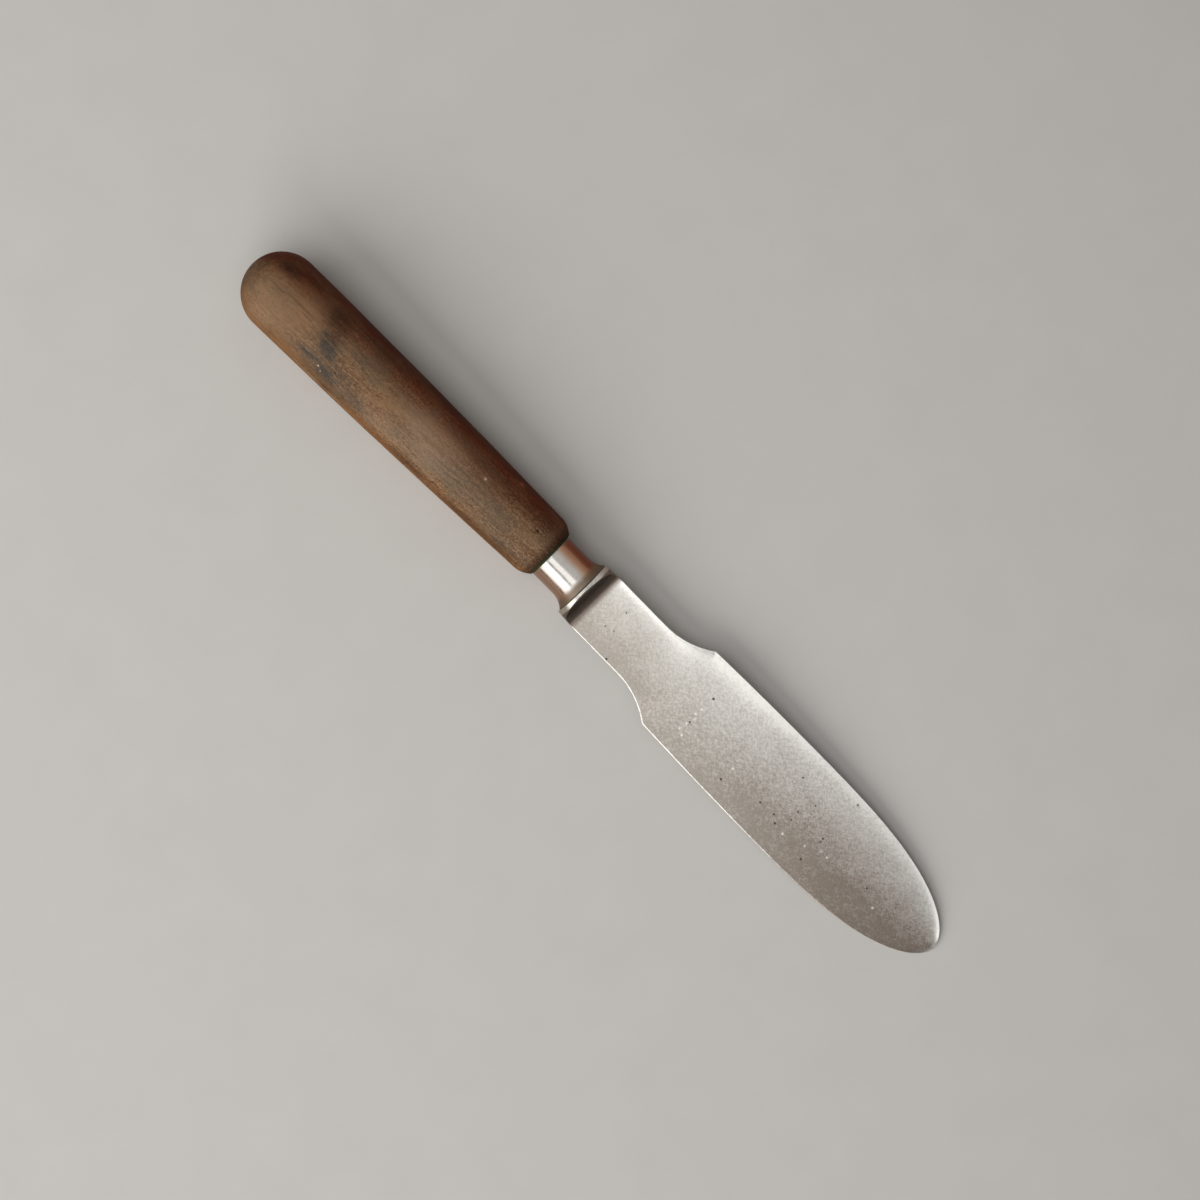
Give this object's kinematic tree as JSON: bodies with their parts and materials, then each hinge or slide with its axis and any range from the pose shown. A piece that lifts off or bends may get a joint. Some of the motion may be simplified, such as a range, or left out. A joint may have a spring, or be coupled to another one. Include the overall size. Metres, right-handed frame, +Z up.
{
  "type": "bakery scraper",
  "caption": "Baker's hand scraper: leaf-shaped steel blade with a rounded end and forged bolster, metal ferrule and turned wooden handle.",
  "frame": {"origin": "on the table under the middle of the tool as it lies at rest on its blade tip and the handle's front shoulder", "axes": "+X from the butt to the blade's tip, +Z up from the table, +Y across the blade; the tool's own plane is tipped about 3.3 degrees, tip down, and rolled 3.45 degrees about the blade, -Y side down, as its weight turns it"},
  "size_m": [0.2788, 0.0314, 0.0276],
  "materials": {
    "blade_steel": "satin forged carbon steel, faint lengthwise brushing, small dark pits",
    "nickel_silver": "polished nickel silver, worn smooth, green tarnish at the joints",
    "handle_wood": "bare aged beech, grey-brown, with blue-black stains and small nicks",
    "cutlers_cement": "set rosin and brick-dust cement, never seen"
  },
  "bodies": {
    "root": {"blade": "blade_steel", "ferrule": "nickel_silver", "handle": "handle_wood", "cement_fill": "cutlers_cement"}
  },
  "joints": []
}
